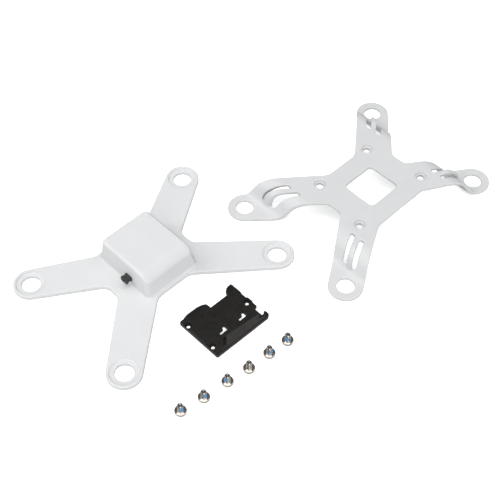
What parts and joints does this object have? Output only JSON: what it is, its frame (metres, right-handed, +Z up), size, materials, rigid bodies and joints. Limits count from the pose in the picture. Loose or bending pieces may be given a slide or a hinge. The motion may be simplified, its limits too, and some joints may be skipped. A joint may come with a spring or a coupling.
{
  "type": "gimbal vibration damping board kit",
  "caption": "Loose kit of two X shaped damper boards, one with a hollow box and one with bent slotted arms, laid out with the box cover and small socket head screws",
  "frame": {"origin": "middle of the whole layout's bounding box, on the surface that the pieces rest on", "axes": "+X along the short side and +Y along the long side of the boards' hole rectangles, +Z up"},
  "size_m": [0.1064, 0.1922, 0.0133],
  "materials": {
    "white_plastic": "satin moulded",
    "black_plastic": "fine matte moulded",
    "black_rubber": "matte",
    "steel": "bright turned",
    "brass": "satin",
    "blue_nylon": "matte"
  },
  "bodies": {
    "upper": {"upper_board": "white_plastic", "cable_grommet": "black_rubber", "threaded_insert_1": "brass", "threaded_insert_2": "brass", "threaded_insert_3": "brass"},
    "lower": {"lower_board": "white_plastic"},
    "cover": {"box_cover": "black_plastic"},
    "screw_1_body": {"screw_1": "steel", "threadlock_patch_1": "blue_nylon"},
    "screw_2_body": {"screw_2": "steel", "threadlock_patch_2": "blue_nylon"},
    "screw_3_body": {"screw_3": "steel", "threadlock_patch_3": "blue_nylon"},
    "screw_4_body": {"screw_4": "steel"},
    "screw_5_body": {"screw_5": "steel", "threadlock_patch_5": "blue_nylon"},
    "screw_6_body": {"screw_6": "steel", "threadlock_patch_6": "blue_nylon"}
  },
  "joints": [
    {"name": "lower_board_lift", "type": "slide", "parent": "upper", "child": "lower", "axis": [0, 0, 1], "range_m": [0, 0.03]},
    {"name": "box_cover_lift", "type": "slide", "parent": "upper", "child": "cover", "axis": [0, 0, 1], "range_m": [0, 0.03]},
    {"name": "screw_1_lift", "type": "slide", "parent": "upper", "child": "screw_1_body", "axis": [0, 0, 1], "range_m": [0, 0.03]},
    {"name": "screw_2_lift", "type": "slide", "parent": "upper", "child": "screw_2_body", "axis": [0, 0, 1], "range_m": [0, 0.03]},
    {"name": "screw_3_lift", "type": "slide", "parent": "upper", "child": "screw_3_body", "axis": [0, 0, 1], "range_m": [0, 0.03]},
    {"name": "screw_4_lift", "type": "slide", "parent": "upper", "child": "screw_4_body", "axis": [0, 0, 1], "range_m": [0, 0.03]},
    {"name": "screw_5_lift", "type": "slide", "parent": "upper", "child": "screw_5_body", "axis": [0, 0, 1], "range_m": [0, 0.03]},
    {"name": "screw_6_lift", "type": "slide", "parent": "upper", "child": "screw_6_body", "axis": [0, 0, 1], "range_m": [0, 0.03]}
  ]
}
